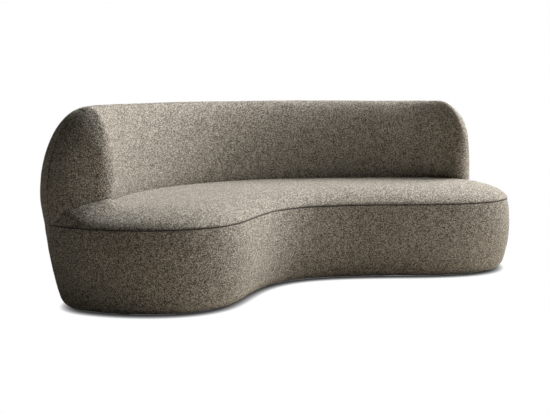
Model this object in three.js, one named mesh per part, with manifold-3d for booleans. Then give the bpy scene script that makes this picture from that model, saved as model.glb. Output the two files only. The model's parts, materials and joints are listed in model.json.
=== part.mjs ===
import * as THREE from "three";
import Module from "manifold-3d";
import { mergeVertices } from "three/addons/utils/BufferGeometryUtils.js";

// Curved sofa, in millimetres: X to the right, Y to the back, Z up, standing on z = 0

// Overall size
const width = 2220;
const depth = 1180;
const height = 770;

// Heights of the main lines
const seamHeight = 330;
const widestHeight = 420;
const hemHeight = 4;
const tuckHeight = 296;

// Plan outline: control points of a closed smooth curve, as shares of the width and the depth,
// counterclockwise from the left end along the front
const outlineShares = [
  [-0.52, -0.14], [-0.45, -0.36], [-0.33, -0.50], [-0.21, -0.48], [-0.11, -0.27], [-0.005, -0.19],
  [0.12, -0.26], [0.26, -0.42], [0.41, -0.455], [0.51, -0.22], [0.48, 0.10], [0.32, 0.32],
  [0.14, 0.465], [-0.065, 0.51], [-0.27, 0.40], [-0.45, 0.12],
];

// Section of the back: how far the crest stands in from the outline, its thickness, and the height
// at which its inside face begins to round over
const crestInset = 195;
const backThickness = 290;
const innerFaceTop = 500;

// Curl of the inside face over the seat: its height, and its depth along the back and at the ends
const curlTop = 470;
const curlFoot = 385;
const curlRowShare = 0.6;
const curlDepth = 20;
const endCurlDepth = 56;

// Near its ends the back grows slimmer. At the left end, where the outline bends tightly, its inside
// half turns less than the outline: how much of the turn it keeps, over which run, and the insets
// between which its section bends
const leftEndThickness = 270;
const rightEndThickness = 250;
const taperRun = 300;
const leftTurnRun = 260;
const leftTurnKeptShare = 0.5;
const bendFrom = 40;
const bendTo = 130;

// Toe-in of the lower body at the floor, its bulge and the roll of its bottom edge
const rearToe = 105;
const rearToeEase = 1.4;
const frontToe = 39;
const bandWidestHeight = 215;
const hemRoll = 30;
const hemRowShares = [0, 0.2, 0.55];
const sideRowShares = [0, 0.25, 0.5, 0.75, 1];

// Seat crown
const seatCrown = 68;
const crownRun = 200;
const crownClearance = 30;
const crownEase = 0.6;
const hiddenPull = 72;
const hiddenPullShare = 0.25;

// Ends of the back: where they lie on the outline, as shares of its length, and how they round
const rightTipShare = 0.5035;
const leftTipShare = 1.026;
const endRun = 160;
const coreInset = 150;
const coreDrop = 210;
const outerEndPower = 3;
const innerEndPower = 1.9;
const profileBlendShare = 0.035;

// How far a layer stands back from a tip for each unit of its depth
const tipDraw = 2;

// Upholstery layers, measured inwards from the outside of the cover
const coverThickness = 3;
const paddingThickness = 12;
const boardThickness = 4;
const backFoamThickness = 44;
const layerGap = 0.3;
const seamGap = 0.3;

// Timber frame
const plateThickness = 18;
const basePlateBottom = 20.2;
const seatPlateTop = 290;
const plateFrontWidth = 140;
const basePlateRearWidth = 150;
const seatPlateRearInset = 285;
const ribThickness = 18;
const ribClearance = 3.5;
const lowerRibWidth = 70;
const railWidth = 85;
const railInset = 122;
const railDrop = 110;
const railThickness = 18;
const crossRailWidth = 45;
const crossRailHeight = 60;
const crossRailBearing = 34;
const crossRailEndInset = 590;
const crossRailCount = 3;

// Elastic webbing under the seat foam
const strapCount = 8;
const strapWidth = 60;
const strapThickness = 2;
const strapEndInset = 322.5;
const strapBearing = 35;

// Underside
const dustCoverThickness = 0.8;
const dustCoverMargin = 8;
const glideRadius = 20;
const glideTaper = 3;
const glideCount = 8;
const glideInset = 62;

// Number of steps of the curved surfaces
const endSteps = 5;
const backSteps = 21;
const frontSteps = 27;
const hiddenSteps = 12;
const outerRows = 8;
const coreRows = 6;
const topSeamRow = 7;
const firstBoardRow = 3;
const innerFaceRows = 5;
const crownRows = 6;
const glideSides = 20;
const backRibCount = 8;
const rearRibCount = 6;
const frontRibCount = 6;
const cutMargin = 40;

const wasm = await Module();
wasm.setup();

const sofa = new THREE.Group();

// Colours: a greige looped fabric, foam, timber and the dark underside
const finishes = {
  fabric: { color: 0x8c8475, roughness: 0.95, metalness: 0 },
  foam: { color: 0xe8dfc0, roughness: 0.9, metalness: 0 },
  wadding: { color: 0xf1efe8, roughness: 0.95, metalness: 0 },
  plywood: { color: 0xc9a878, roughness: 0.7, metalness: 0 },
  board: { color: 0xa9845a, roughness: 0.75, metalness: 0 },
  pine: { color: 0xd9bb86, roughness: 0.7, metalness: 0 },
  webbing: { color: 0x2d2d30, roughness: 0.85, metalness: 0 },
  underside: { color: 0x1d1d1f, roughness: 0.9, metalness: 0 },
  glide: { color: 0x161616, roughness: 0.5, metalness: 0 },
};

function addPart(name, geometry, finish) {
  const mesh = new THREE.Mesh(geometry, new THREE.MeshStandardMaterial(finishes[finish]));
  mesh.name = name;
  sofa.add(mesh);
  return mesh;
}

// Small number helpers
const clamp = (value) => Math.min(1, Math.max(0, value));
const smooth = (value) => clamp(value) ** 2 * (3 - 2 * clamp(value));
const mix = (a, b, share) => a + (b - a) * share;
const wrap = (share) => ((share % 1) + 1) % 1;

// Plan curve: a uniform cubic B-spline through the control points, fitted to width and depth
function splineAt(points, t) {
  const count = points.length;
  const start = Math.floor(t);
  const f = t - start;
  const places = [(1 - f) ** 3, 3 * f ** 3 - 6 * f ** 2 + 4, -3 * f ** 3 + 3 * f ** 2 + 3 * f + 1, f ** 3];
  const slopes = [-3 * (1 - f) ** 2, 9 * f ** 2 - 12 * f, -9 * f ** 2 + 6 * f + 3, 3 * f ** 2];
  const sum = { x: 0, y: 0, dx: 0, dy: 0 };
  for (let k = 0; k < places.length; k += 1) {
    const point = points[(start + k - 1 + count) % count];
    sum.x += (point[0] * places[k]) / 6;
    sum.y += (point[1] * places[k]) / 6;
    sum.dx += (point[0] * slopes[k]) / 6;
    sum.dy += (point[1] * slopes[k]) / 6;
  }
  return sum;
}

function fitToSize(shares) {
  const samples = 2000;
  const low = [Infinity, Infinity];
  const high = [-Infinity, -Infinity];
  for (let k = 0; k < samples; k += 1) {
    const { x, y } = splineAt(shares, (k * shares.length) / samples);
    low[0] = Math.min(low[0], x);
    low[1] = Math.min(low[1], y);
    high[0] = Math.max(high[0], x);
    high[1] = Math.max(high[1], y);
  }
  const size = [width, depth];
  return shares.map((point) => point.map((value, axis) =>
    ((value - (low[axis] + high[axis]) / 2) / (high[axis] - low[axis])) * size[axis]));
}

class Outline {
  constructor(shares) {
    this.points = fitToSize(shares);
    this.table = [0];
    this.samples = 4000;
    let last = splineAt(this.points, 0);
    for (let k = 1; k <= this.samples; k += 1) {
      const next = splineAt(this.points, (k * this.points.length) / this.samples);
      this.table.push(this.table[k - 1] + Math.hypot(next.x - last.x, next.y - last.y));
      last = next;
    }
    this.length = this.table[this.samples];
    this.leastRadius = this.findLeastRadius();
  }

  // Radius of the tightest bend, taken between neighbouring samples where the outline is convex
  findLeastRadius() {
    let least = Infinity;
    let last = this.at(0);
    for (let k = 1; k <= this.samples; k += 1) {
      const next = this.at(k / this.samples);
      const turn = last.tx * next.ty - last.ty * next.tx;
      if (turn > 0) least = Math.min(least, this.length / this.samples / turn);
      last = next;
    }
    return least;
  }

  // Point, direction along the curve and inward normal at a share of the length
  at(share) {
    const target = wrap(share) * this.length;
    let low = 0;
    let high = this.samples;
    while (high - low > 1) {
      const middle = (low + high) >> 1;
      if (this.table[middle] > target) high = middle;
      else low = middle;
    }
    const part = (target - this.table[low]) / (this.table[high] - this.table[low]);
    const { x, y, dx, dy } = splineAt(this.points, ((low + part) * this.points.length) / this.samples);
    const size = Math.hypot(dx, dy);
    return { x, y, tx: dx / size, ty: dy / size, nx: -dy / size, ny: dx / size };
  }
}

const outline = new Outline(outlineShares);
const endRunShare = endRun / outline.length;
const rightSeamShare = rightTipShare + endRunShare;
const leftSeamShare = leftTipShare - endRunShare;

function place(share, inset, z) {
  const { x, y, nx, ny } = outline.at(share);
  return [x + nx * inset, y + ny * inset, z];
}

// 1 along the back, 0 along the front, eased at the two vertical seams
function rearWeight(share) {
  const run = 2 * profileBlendShare;
  const from = wrap(share - rightSeamShare + profileBlendShare);
  const span = leftSeamShare - rightSeamShare + run;
  return from > span ? 0 : smooth(from / run) * smooth((span - from) / run);
}

// How far the outside stands in from the outline at a height
const rearInset = (z) => rearToe * Math.max(0, (widestHeight - z) / widestHeight) ** rearToeEase;
const seamInset = rearInset(seamHeight);

// The crown rounds over inside the outline's tightest bend, as a fillet does inside its wall
const crownReach = Math.min(crownRun, outline.leastRadius - seamInset - crownClearance);

function bandInset(z) {
  if (z > bandWidestHeight) {
    return seamInset * ((z - bandWidestHeight) / (seamHeight - bandWidestHeight)) ** 2;
  }
  return frontToe * ((bandWidestHeight - z) / bandWidestHeight) ** 2;
}

function hemInset(z) {
  const share = clamp(1 - (z - hemHeight) / hemRoll);
  return hemRoll * (1 - Math.sqrt(1 - share ** 2));
}

const lowerInset = (share, z) => mix(bandInset(z), rearInset(z), rearWeight(share)) + hemInset(z);

// Heights of the rows of the lower body, from the hem to the seam
const lowerHeights = [
  ...hemRowShares.map((share) => hemHeight + hemRoll * share),
  ...sideRowShares.map((share) => mix(hemHeight + hemRoll, seamHeight, share)),
];

// The same inset as the rows have it, straight between two rows
function rowInset(share, z) {
  const row = Math.max(1, lowerHeights.findIndex((level) => level >= z));
  const low = lowerHeights[row - 1];
  const high = lowerHeights[row];
  return mix(lowerInset(share, low), lowerInset(share, high), (z - low) / (high - low));
}

// Section of the back from the outside foot over the crest to the inside foot
function makeSection() {
  const points = [];
  const rise = height - seamHeight;
  for (let k = 0; k <= outerRows; k += 1) {
    const z = seamHeight + rise * Math.sin((k / outerRows) * (Math.PI / 2));
    const above = clamp((z - widestHeight) / (height - widestHeight));
    points.push([rearInset(z) + crestInset * (1 - Math.sqrt(1 - above ** 2)), z]);
  }
  for (let k = 1; k <= innerFaceRows; k += 1) {
    const angle = (k / innerFaceRows) * (Math.PI / 2);
    points.push([
      crestInset + (backThickness - crestInset) * Math.sin(angle),
      innerFaceTop + (height - innerFaceTop) * Math.cos(angle),
    ]);
  }
  const levels = [mix(curlTop, curlFoot, curlRowShare), curlFoot, tuckHeight];
  for (const z of levels) points.push([backThickness, z]);
  return points;
}

const section = makeSection();
const lastRow = section.length - 1;

// The line inside the back towards which its layers and its ends draw in, and its step for a row
const coreStep = (row) => Math.min(coreRows, row, lastRow - row);
const coreAt = (row) => [coreInset, mix(seamHeight, height - coreDrop, coreStep(row) / coreRows)];

// Stations along the back, from the right tip to the left tip
function makeBackStations() {
  const stations = [];
  const ease = (k) => 1 - Math.cos((k / endSteps) * (Math.PI / 2));
  for (let k = 0; k < endSteps; k += 1) stations.push({ end: "right", share: ease(k) });
  for (let k = 0; k <= backSteps; k += 1) stations.push({ end: null, share: k / backSteps });
  for (let k = endSteps - 1; k >= 0; k -= 1) stations.push({ end: "left", share: ease(k) });
  return stations;
}

const backStations = makeBackStations();
const lastStation = backStations.length - 1;
const rightSeamStation = endSteps;
const leftSeamStation = endSteps + backSteps;

function stationShare(station, layer) {
  if (!station.end) return mix(rightSeamShare, leftSeamShare, station.share);
  const drawn = layer * tipDraw;
  const from = (drawn + station.share * (endRun - drawn)) / outline.length;
  return station.end === "right" ? rightTipShare + from : leftTipShare - from;
}

// The inside face grows slimmer towards both ends, and curls in more there above the seat
function innerInset(share, u, z) {
  const fromSeam = Math.min(leftSeamShare - share, share - rightSeamShare) * outline.length;
  const near = smooth(1 - fromSeam / taperRun);
  const thickness = leftSeamShare - share < share - rightSeamShare ? leftEndThickness : rightEndThickness;
  const keep = mix(1, (thickness - coreInset) / (backThickness - coreInset), near);
  const curl = clamp((curlTop - z) / (curlTop - curlFoot));
  const drawn = mix(curlDepth, endCurlDepth, near) * (1 - Math.sqrt(1 - curl ** 2));
  return coreInset + (u - coreInset) * keep - drawn;
}

// Plan direction of the inside half of the section: it turns less than the outline near the left end,
// so that the inside face keeps clear of the outline's centre of curvature
function innerWay(share) {
  const past = Math.max(0, share - leftSeamShare + leftTurnRun / outline.length);
  const { nx, ny } = outline.at(share - past * (1 - leftTurnKeptShare));
  return [nx, ny];
}

function placeInBack(share, inset, z) {
  const within = Math.min(Math.max(inset, bendFrom), bendTo) - bendFrom;
  const bent = within ** 2 / (2 * (bendTo - bendFrom)) + Math.max(0, inset - bendTo);
  const [x, y] = place(share, inset - bent, z);
  const [wayX, wayY] = innerWay(share);
  return [x + wayX * bent, y + wayY * bent, z];
}

function backPoint(i, row, layer) {
  const station = backStations[i];
  const [coreU, coreZ] = coreAt(row);
  const [fullU, z] = section[row];
  const u = row > outerRows ? innerInset(stationShare(station, 0), fullU, z) : fullU;
  const reach = Math.hypot(u - coreU, z - coreZ);
  const power = mix(outerEndPower, innerEndPower, smooth(fullU / crestInset));
  const swell = station.end ? (1 - (1 - station.share) ** power) ** (1 / power) : 1;
  const keep = ((reach - layer) / reach) * swell;
  return placeInBack(stationShare(station, layer), coreU + (u - coreU) * keep, coreZ + (z - coreZ) * keep);
}

// At the two tips the outside and inside rows meet on the core line
const isTip = (i) => i === 0 || i === lastStation;
const plainId = (i, row) => `${i},${row}`;
const backId = (i, row) => plainId(i, isTip(i) ? coreStep(row) : row);

// Closed body from indexed points and faces
class Body {
  constructor() {
    this.points = [];
    this.faces = [];
  }

  add(point) {
    this.points.push([...point]);
    return this.points.length - 1;
  }

  face(a, b, c) {
    if (a !== b && b !== c && c !== a) this.faces.push([a, b, c]);
  }

  quad(a, b, c, d) {
    this.face(a, b, c);
    this.face(a, c, d);
  }

  geometry() {
    const geometry = new THREE.BufferGeometry();
    geometry.setAttribute("position", new THREE.Float32BufferAttribute(this.points.flat(), 3));
    geometry.setIndex(this.faces.flat());
    return geometry;
  }
}

const minus = (a, b) => a.map((value, k) => value - b[k]);
const sizeOf = (a) => Math.hypot(...a);

// Draws the border of a sheet in by half a seam gap, so that two sewn panels don't overlap
function drawIn(points, faces, borderEdges) {
  const border = new Set(borderEdges.flat());
  const edgeKeys = new Set(borderEdges.map(([a, b]) => `${Math.min(a, b)},${Math.max(a, b)}`));
  const moves = new Map();
  for (const face of faces) {
    for (const a of face) {
      for (const b of face) {
        const key = `${Math.min(a, b)},${Math.max(a, b)}`;
        if (a === b || !border.has(a) || edgeKeys.has(key)) continue;
        const way = minus(points[b], points[a]);
        const move = moves.get(a) ?? [0, 0, 0];
        moves.set(a, move.map((value, k) => value + way[k] / sizeOf(way)));
      }
    }
  }
  for (const [a, move] of moves) {
    points[a] = points[a].map((value, k) => value + (move[k] / sizeOf(move)) * (seamGap / 2));
  }
}

// A sheet with a thickness: outer and inner layers over the same cells, closed along its border
function makeSheet(cells, idOf, outerAt, innerAt) {
  const outer = new Body();
  const inner = [];
  const known = new Map();
  const vertex = (i, row) => {
    const id = idOf(i, row);
    if (!known.has(id)) {
      known.set(id, outer.add(outerAt(i, row)));
      inner.push([...innerAt(i, row)]);
    }
    return known.get(id);
  };
  for (const [i, row] of cells) {
    outer.quad(vertex(i, row), vertex(i + 1, row), vertex(i + 1, row + 1), vertex(i, row + 1));
  }
  const directed = new Set(outer.faces.flatMap(([a, b, c]) => [`${a},${b}`, `${b},${c}`, `${c},${a}`]));
  const borderEdges = [];
  for (const [a, b, c] of outer.faces) {
    for (const [from, to] of [[a, b], [b, c], [c, a]]) {
      if (!directed.has(`${to},${from}`)) borderEdges.push([from, to]);
    }
  }
  drawIn(outer.points, outer.faces, borderEdges);
  drawIn(inner, outer.faces, borderEdges);
  const count = outer.points.length;
  const body = new Body();
  body.points = [...outer.points, ...inner];
  body.faces = [...outer.faces, ...outer.faces.map(([a, b, c]) => [a + count, c + count, b + count])];
  for (const [from, to] of borderEdges) body.quad(to, from, from + count, to + count);
  return body.geometry();
}

// Closed body through rings of equal length, with flat ends
function makeLoft(rings) {
  const body = new Body();
  const ids = rings.map((ring) => ring.map((point) => body.add(point)));
  const count = rings[0].length;
  for (let k = 0; k < rings.length - 1; k += 1) {
    for (let j = 0; j < count; j += 1) {
      const next = (j + 1) % count;
      body.quad(ids[k][j], ids[k][next], ids[k + 1][next], ids[k + 1][j]);
    }
  }
  for (let j = 1; j < count - 1; j += 1) {
    body.face(ids[0][0], ids[0][j + 1], ids[0][j]);
    body.face(ids.at(-1)[0], ids.at(-1)[j], ids.at(-1)[j + 1]);
  }
  return body.geometry();
}

// Joining and cutting of closed meshes
function toSolid(geometry) {
  const bare = geometry.clone();
  bare.deleteAttribute("normal");
  bare.deleteAttribute("uv");
  const merged = mergeVertices(bare);
  return new wasm.Manifold(new wasm.Mesh({
    numProp: 3,
    vertProperties: new Float32Array(merged.attributes.position.array),
    triVerts: new Uint32Array(merged.index.array),
  }));
}

function toGeometry(solid) {
  const mesh = solid.getMesh();
  const geometry = new THREE.BufferGeometry();
  geometry.setAttribute("position", new THREE.BufferAttribute(new Float32Array(mesh.vertProperties), 3));
  geometry.setIndex(new THREE.BufferAttribute(new Uint32Array(mesh.triVerts), 1));
  return geometry;
}

const cut = (geometry, ...tools) =>
  toGeometry(tools.reduce((solid, tool) => solid.subtract(toSolid(tool)), toSolid(geometry)));

// Cells of the back's surface between two stations and two rows
function backCells(fromStation, toStation, fromRow, toRow) {
  const cells = [];
  for (let i = fromStation; i < toStation; i += 1) {
    for (let row = fromRow; row < toRow; row += 1) cells.push([i, row]);
  }
  return cells;
}

// The whole back as one solid, drawn down past the seat: it cuts the seat's soft pieces to fit
function backEnvelope(layer) {
  const body = new Body();
  const known = new Map();
  const vertex = (i, row) => {
    const id = backId(i, row);
    if (!known.has(id)) known.set(id, body.add(backPoint(i, row, layer)));
    return known.get(id);
  };
  const foot = new Map();
  const below = (id) => {
    const [x, y] = body.points[id];
    if (!foot.has(id)) foot.set(id, body.add([x, y, tuckHeight - cutMargin]));
    return foot.get(id);
  };
  for (const [i, row] of backCells(0, lastStation, 0, lastRow)) {
    body.quad(vertex(i, row), vertex(i + 1, row), vertex(i + 1, row + 1), vertex(i, row + 1));
  }
  for (let i = 0; i < lastStation; i += 1) {
    const outside = [vertex(i, 0), vertex(i + 1, 0)];
    const inside = [vertex(i, lastRow), vertex(i + 1, lastRow)];
    body.quad(below(outside[0]), below(outside[1]), outside[1], outside[0]);
    body.quad(inside[0], inside[1], below(inside[1]), below(inside[0]));
    body.quad(below(outside[1]), below(outside[0]), below(inside[0]), below(inside[1]));
  }
  return body.geometry();
}

// Layers from the outside in
const coverBack = coverThickness;
const paddingFront = coverBack + layerGap;
const paddingBack = paddingFront + paddingThickness;
const boardFront = paddingBack + layerGap;
const boardBack = boardFront + boardThickness;
const foamBack = paddingFront + backFoamThickness;
const innerBoardFront = foamBack + layerGap;
const innerBoardBack = innerBoardFront + boardThickness;
const frameLayer = boardBack + ribClearance;
const innerFrameLayer = innerBoardBack + ribClearance;
const railBottom = height - railDrop;

// Inside back with both rounded arm ends, from the top seam to the tuck behind the seat
const insideBackCells = [
  ...backCells(0, rightSeamStation, 0, lastRow),
  ...backCells(rightSeamStation, leftSeamStation, topSeamRow, lastRow),
  ...backCells(leftSeamStation, lastStation, 0, lastRow),
];

function insideBackSheet(front, back) {
  const at = (layer) => (i, row) => backPoint(i, row, layer);
  return makeSheet(insideBackCells, backId, at(front), at(back));
}

// Outside back: the lower rows and the outside of the back's section up to the top seam
const lowerRows = lowerHeights.length - 1;

function outsideBackPoint(i, row, layer) {
  if (row >= lowerRows) return backPoint(i, row - lowerRows, layer);
  const share = stationShare(backStations[i], layer);
  return place(share, lowerInset(share, lowerHeights[row]) + layer, lowerHeights[row]);
}

function outsideBackSheet(front, back, fromRow) {
  const cells = backCells(rightSeamStation, leftSeamStation, fromRow, lowerRows + topSeamRow);
  const at = (layer) => (i, row) => outsideBackPoint(i, row, layer);
  return makeSheet(cells, plainId, at(front), at(back));
}

// Front band from the left vertical seam round to the right one
const frontShare = (i) => mix(leftSeamShare - 1, rightSeamShare, i / frontSteps);

function bandPoint(i, row, layer) {
  const share = frontShare(i);
  return place(share, lowerInset(share, lowerHeights[row]) + layer, lowerHeights[row]);
}

function bandSheet(front, back, fromRow, toRow) {
  const cells = [];
  for (let i = 0; i < frontSteps; i += 1) {
    for (let row = fromRow; row < toRow; row += 1) cells.push([i, row]);
  }
  const at = (layer) => (i, row) => bandPoint(i, row, layer);
  return makeSheet(cells, plainId, at(front), at(back));
}

// Seat: rings from the seam inwards, with the hidden rear stretch drawn in under the back
function seatShares() {
  const shares = [];
  for (let i = 0; i <= frontSteps; i += 1) shares.push(frontShare(i));
  for (let i = 1; i < hiddenSteps; i += 1) shares.push(mix(rightSeamShare, leftSeamShare, i / hiddenSteps));
  return shares;
}

function seatPull(share) {
  const from = wrap(share - rightSeamShare) / (leftSeamShare - rightSeamShare);
  return from > 1 ? 0 : hiddenPull * smooth(Math.min(from, 1 - from) / hiddenPullShare);
}

// A ring of the crown, drawn in square to its surface by a layer
function crownRing(row, layer) {
  const angle = (row / crownRows) * (Math.PI / 2);
  const run = crownReach * (1 - Math.cos(angle));
  const near = 1 - run / crownReach;
  const rise = seatCrown * (1 - near ** 2) ** crownEase;
  const lean = angle ** crownEase / (Math.PI / 2) ** crownEase;
  const inX = Math.cos((lean * Math.PI) / 2);
  const inZ = Math.sin((lean * Math.PI) / 2);
  const z = seamHeight + seamGap / 2 + rise - layer * inZ;
  return seatShares().map((share) => place(share, seamInset + seatPull(share) + run + layer * inX, z));
}

const ringAt = (inset, z) => seatShares().map((share) => place(share, inset + seatPull(share), z));

// Closed body through stacked rings round the seat, with its flat top and bottom filled in
function makeStack(rings) {
  const body = new Body();
  const ids = rings.map((ring) => ring.map((point) => body.add(point)));
  const count = rings[0].length;
  for (let k = 0; k < rings.length - 1; k += 1) {
    for (let j = 0; j < count; j += 1) {
      const next = (j + 1) % count;
      body.quad(ids[k][j], ids[k][next], ids[k + 1][next], ids[k + 1][j]);
    }
  }
  const fill = (ring, id, flip) => {
    const flat = ring.map(([x, y]) => new THREE.Vector2(x, y));
    for (const [a, b, c] of THREE.ShapeUtils.triangulateShape(flat, [])) {
      if (flip) body.face(id[c], id[b], id[a]);
      else body.face(id[a], id[b], id[c]);
    }
  };
  fill(rings[0], ids[0], true);
  fill(rings.at(-1), ids.at(-1), false);
  return body.geometry();
}

const allCrownRows = [...Array(crownRows + 1).keys()];
const crownRings = (layer) => allCrownRows.map((row) => crownRing(row, layer));

function makeSeatCover() {
  const rings = [...crownRings(coverThickness).reverse(), ...crownRings(0)];
  const shell = makeStack(rings);
  return cut(shell, backEnvelope(-layerGap));
}

function makeSeatFoam() {
  const sideInset = seamInset + paddingBack + layerGap;
  const bottom = seatPlateTop + layerGap + strapThickness + layerGap;
  const rings = [ringAt(sideInset, bottom), ringAt(sideInset, seamHeight), ...crownRings(paddingFront)];
  return cut(makeStack(rings), backEnvelope(-layerGap));
}

// Stations round the frame: those of the front band and of the outside back
function frameShares() {
  const shares = [];
  for (let i = 0; i < frontSteps; i += 1) shares.push(frontShare(i));
  for (const station of backStations.slice(rightSeamStation, leftSeamStation)) {
    shares.push(stationShare(station, 0));
  }
  return shares;
}

// Plates of the frame: a ring with one opening
function ringPlate(name, bottom, innerInset) {
  const shares = frameShares();
  const edge = shares.map((share) => {
    const inset = Math.max(rowInset(share, bottom), rowInset(share, bottom + plateThickness));
    return place(share, inset + frameLayer, 0);
  });
  const inner = shares.map((share) => place(share, innerInset(share), 0));
  const shape = new THREE.Shape(edge.map(([x, y]) => new THREE.Vector2(x, y)));
  shape.holes.push(new THREE.Path(inner.map(([x, y]) => new THREE.Vector2(x, y))));
  const geometry = new THREE.ExtrudeGeometry(shape, { depth: plateThickness, bevelEnabled: false });
  addPart(name, geometry, "plywood").position.z = bottom;
  return inner;
}

// Flat piece cut from sheet and stood square to the outline at a share of its length
function addRib(name, share, profile) {
  const { x, y, tx, ty, nx, ny } = outline.at(share);
  const shape = new THREE.Shape(profile.map(([u, z]) => new THREE.Vector2(u, z)));
  const geometry = new THREE.ExtrudeGeometry(shape, { depth: ribThickness, bevelEnabled: false });
  const rib = addPart(name, geometry, "plywood");
  const turn = new THREE.Matrix4().makeBasis(
    new THREE.Vector3(nx, ny, 0), new THREE.Vector3(0, 0, 1), new THREE.Vector3(tx, ty, 0));
  rib.setRotationFromMatrix(turn);
  rib.position.set(x - (tx * ribThickness) / 2, y - (ty * ribThickness) / 2, 0);
}

// Profile of a rib of the back, between the seat plate and the top rail
function backRibProfile(share) {
  const halfShare = ribThickness / 2 / outline.length;
  const faces = [share - halfShare, share + halfShare];
  const foot = seatPlateTop + layerGap;
  const top = railBottom - layerGap;
  const layered = (row, layer) => {
    const [coreU, coreZ] = coreAt(row);
    const [fullU, z] = section[row];
    const u = row > outerRows ? Math.min(...faces.map((face) => innerInset(face, fullU, z))) : fullU;
    const drawn = 1 - layer / Math.hypot(u - coreU, z - coreZ);
    return [coreU + (u - coreU) * drawn, coreZ + (z - coreZ) * drawn];
  };
  const outer = [];
  const inner = [];
  for (let row = 0; row <= topSeamRow; row += 1) outer.push(layered(row, frameLayer));
  for (let row = topSeamRow + 1; row <= lastRow; row += 1) inner.push(layered(row, innerFrameLayer));
  const atTop = (points) => {
    const k = points.findIndex((point, n) => n > 0 && (point[1] - top) * (points[n - 1][1] - top) <= 0);
    const [a, b] = [points[k - 1], points[k]];
    return [mix(a[0], b[0], (top - a[1]) / (b[1] - a[1])), top];
  };
  const below = (points) => points.filter(([, z]) => z < top && z > foot);
  const outerFoot = [rearInset(foot) + frameLayer, foot];
  const innerFoot = [inner.at(-1)[0], foot];
  return [outerFoot, ...below(outer), atTop(outer), atTop(inner), ...below(inner), innerFoot];
}

// A number of stations spread evenly from one station to another
function spread(count, from, to) {
  return [...Array(count).keys()].map((k) => Math.round(mix(from, to, k / (count - 1))));
}

function addBackRibs() {
  spread(backRibCount, rightSeamStation + 1, leftSeamStation - 1).forEach((i, k) => {
    const share = stationShare(backStations[i], 0);
    addRib(`back_rib_${k + 1}`, share, backRibProfile(share));
  });
}

// Short ribs between the base plate and the seat plate, shaped to the lower body
function lowerRibProfile(share) {
  const bottom = basePlateBottom + plateThickness + layerGap;
  const top = seatPlateTop - plateThickness - layerGap;
  const levels = [bottom, ...lowerHeights.filter((z) => z > bottom && z < top), top];
  const halfShare = ribThickness / 2 / outline.length;
  const outer = levels.map((z) => {
    const inset = Math.max(rowInset(share - halfShare, z), rowInset(share + halfShare, z));
    return [inset + frameLayer, z];
  });
  const inner = Math.max(...outer.map(([u]) => u)) + lowerRibWidth;
  return [...outer, [inner, top], [inner, bottom]];
}

function addLowerRibs() {
  spread(frontRibCount, 2, frontSteps - 2).forEach((i, k) => {
    addRib(`front_rib_${k + 1}`, frontShare(i), lowerRibProfile(frontShare(i)));
  });
  spread(rearRibCount, rightSeamStation + 2, leftSeamStation - 2).forEach((i, k) => {
    const share = stationShare(backStations[i], 0);
    addRib(`rear_rib_${k + 1}`, share, lowerRibProfile(share));
  });
}

// Curved rail along the tops of the back ribs
function makeTopRail() {
  const rings = [];
  for (let i = rightSeamStation; i <= leftSeamStation; i += 1) {
    const share = stationShare(backStations[i], 0);
    const inner = innerInset(share, railInset + railWidth, railBottom);
    const corners = [[railInset, 0], [inner, 0], [inner, railThickness], [railInset, railThickness]];
    rings.push(corners.map(([u, z]) => place(share, u, railBottom + z)));
  }
  return makeLoft(rings);
}

// Where a line at one x crosses a ring of points
function crossings(ring, x) {
  const found = [];
  for (let k = 0; k < ring.length; k += 1) {
    const [a, b] = [ring[k], ring[(k + 1) % ring.length]];
    if ((a[0] - x) * (b[0] - x) < 0) found.push(mix(a[1], b[1], (x - a[0]) / (b[0] - a[0])));
  }
  return [Math.min(...found), Math.max(...found)];
}

// A straight piece laid front to back over an opening, bearing on both its edges
function addSpan(name, opening, x, size, bottom, bearing, finish) {
  const sides = [crossings(opening, x - size.x / 2), crossings(opening, x + size.x / 2)];
  const front = Math.max(...sides.map(([low]) => low)) - bearing;
  const back = Math.min(...sides.map(([, high]) => high)) + bearing;
  const piece = addPart(name, new THREE.BoxGeometry(size.x, back - front, size.z), finish);
  piece.position.set(x, (front + back) / 2, bottom + size.z / 2);
}

// Place along the length of the k-th of a row of spans, the outer ones an inset from the ends
const placeAlong = (k, count, endInset) => mix(endInset - width / 2, width / 2 - endInset, k / (count - 1));

function addCrossRails(opening) {
  const size = { x: crossRailWidth, z: crossRailHeight };
  const bottom = basePlateBottom + plateThickness + layerGap;
  for (let k = 0; k < crossRailCount; k += 1) {
    const x = placeAlong(k, crossRailCount, crossRailEndInset);
    addSpan(`base_cross_rail_${k + 1}`, opening, x, size, bottom, crossRailBearing, "pine");
  }
}

function addStraps(opening) {
  const size = { x: strapWidth, z: strapThickness };
  for (let k = 0; k < strapCount; k += 1) {
    const x = placeAlong(k, strapCount, strapEndInset);
    addSpan(`webbing_strap_${k + 1}`, opening, x, size, seatPlateTop + layerGap, strapBearing, "webbing");
  }
}

// Cloth under the base and the glides nailed through it
function addUnderside() {
  const ring = frameShares().map((share) =>
    place(share, lowerInset(share, basePlateBottom) + frameLayer + dustCoverMargin, 0));
  const shape = new THREE.Shape(ring.map(([x, y]) => new THREE.Vector2(x, y)));
  const cloth = new THREE.ExtrudeGeometry(shape, { depth: dustCoverThickness, bevelEnabled: false });
  const dustBottom = basePlateBottom - layerGap - dustCoverThickness;
  addPart("dust_cover", cloth, "underside").position.z = dustBottom;
  const glideHeight = dustBottom - layerGap;
  for (let k = 0; k < glideCount; k += 1) {
    const share = k / glideCount + 1 / (2 * glideCount);
    const inset = lowerInset(share, basePlateBottom) + frameLayer + glideInset;
    const [x, y] = place(share, inset, 0);
    const button = new THREE.CylinderGeometry(
      glideRadius, glideRadius - glideTaper, glideHeight, glideSides);
    const glide = addPart(`glide_${k + 1}`, button, "glide");
    glide.rotation.x = Math.PI / 2;
    glide.position.set(x, y, glideHeight / 2);
  }
}

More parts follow.
